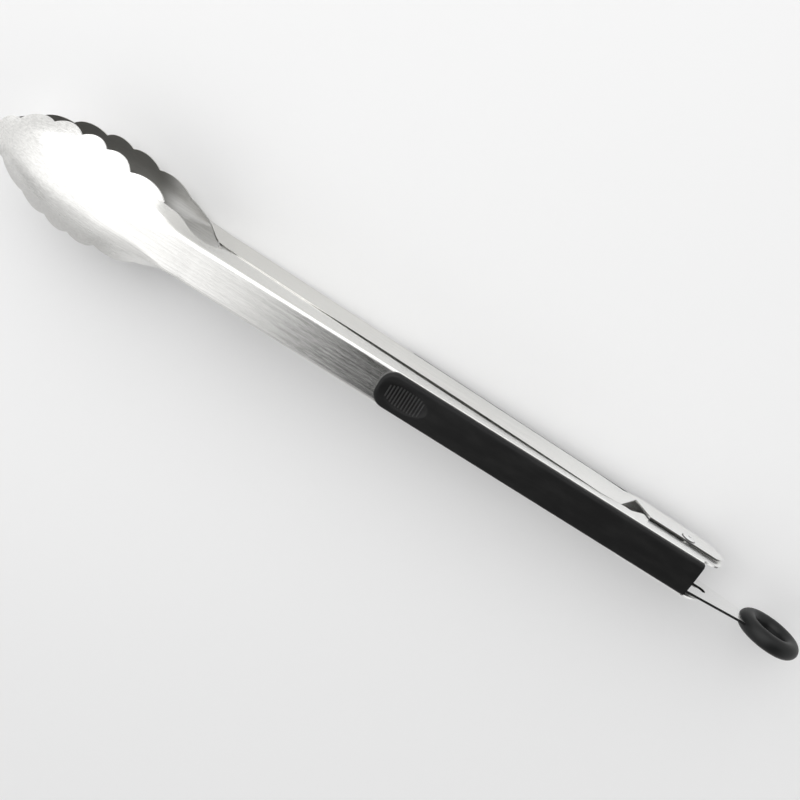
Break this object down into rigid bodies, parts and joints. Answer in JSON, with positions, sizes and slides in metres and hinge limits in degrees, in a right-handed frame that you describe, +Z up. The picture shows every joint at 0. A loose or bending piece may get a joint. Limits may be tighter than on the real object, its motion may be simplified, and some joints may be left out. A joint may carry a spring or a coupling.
{
  "type": "locking kitchen tongs",
  "caption": "Long sprung kitchen tongs: pressed steel arms with scalloped scoop jaws, soft grips, a riveted hinge and a pull tab with a hanging ring that locks them shut.",
  "frame": {"origin": "bottom centre of the closed and locked object's box, as it lies on its lower arm", "axes": "+X from the jaws towards the hanging ring, +Y across the channel along the pin towards its head, +Z up, the way the upper arm opens"},
  "size_m": [0.4612, 0.049, 0.0526],
  "materials": {
    "arm_steel": "brushed lengthwise",
    "pin_steel": "turned, dull",
    "spring_steel": "drawn wire",
    "tab_steel": "brushed",
    "grip_rubber": "matte black",
    "ring_plastic": "soft black sheen"
  },
  "bodies": {
    "lower_arm": {"lower_arm": "arm_steel", "lower_grip": "grip_rubber"},
    "upper_arm": {"upper_arm": "arm_steel", "upper_grip": "grip_rubber"},
    "pin": {"hinge_pin": "pin_steel", "spacer_bush": "pin_steel", "torsion_spring": "spring_steel"},
    "tab": {"pull_tab": "tab_steel", "hang_ring": "ring_plastic"}
  },
  "joints": [
    {"name": "arm_hinge", "type": "hinge", "parent": "lower_arm", "child": "upper_arm", "pos_m": [0.15532, 0, 0.02629], "axis": [0, 1, 0], "range_deg": [0, 28], "deforming": ["torsion_spring"]},
    {"name": "pin_swivel", "type": "hinge", "parent": "lower_arm", "child": "pin", "pos_m": [0.15532, 0, 0.02629], "axis": [0, 1, 0], "range_deg": [0, 14]},
    {"name": "tab_slide", "type": "slide", "parent": "pin", "child": "tab", "axis": [1, 0, 0], "range_m": [-0.02, 0]}
  ],
  "couplings": [
    {"joint": "pin_swivel", "follows": "arm_hinge", "ratio": 0.5},
    {"joint": "tab_slide", "follows": "arm_hinge", "m_per_rad": -0.0409}
  ]
}
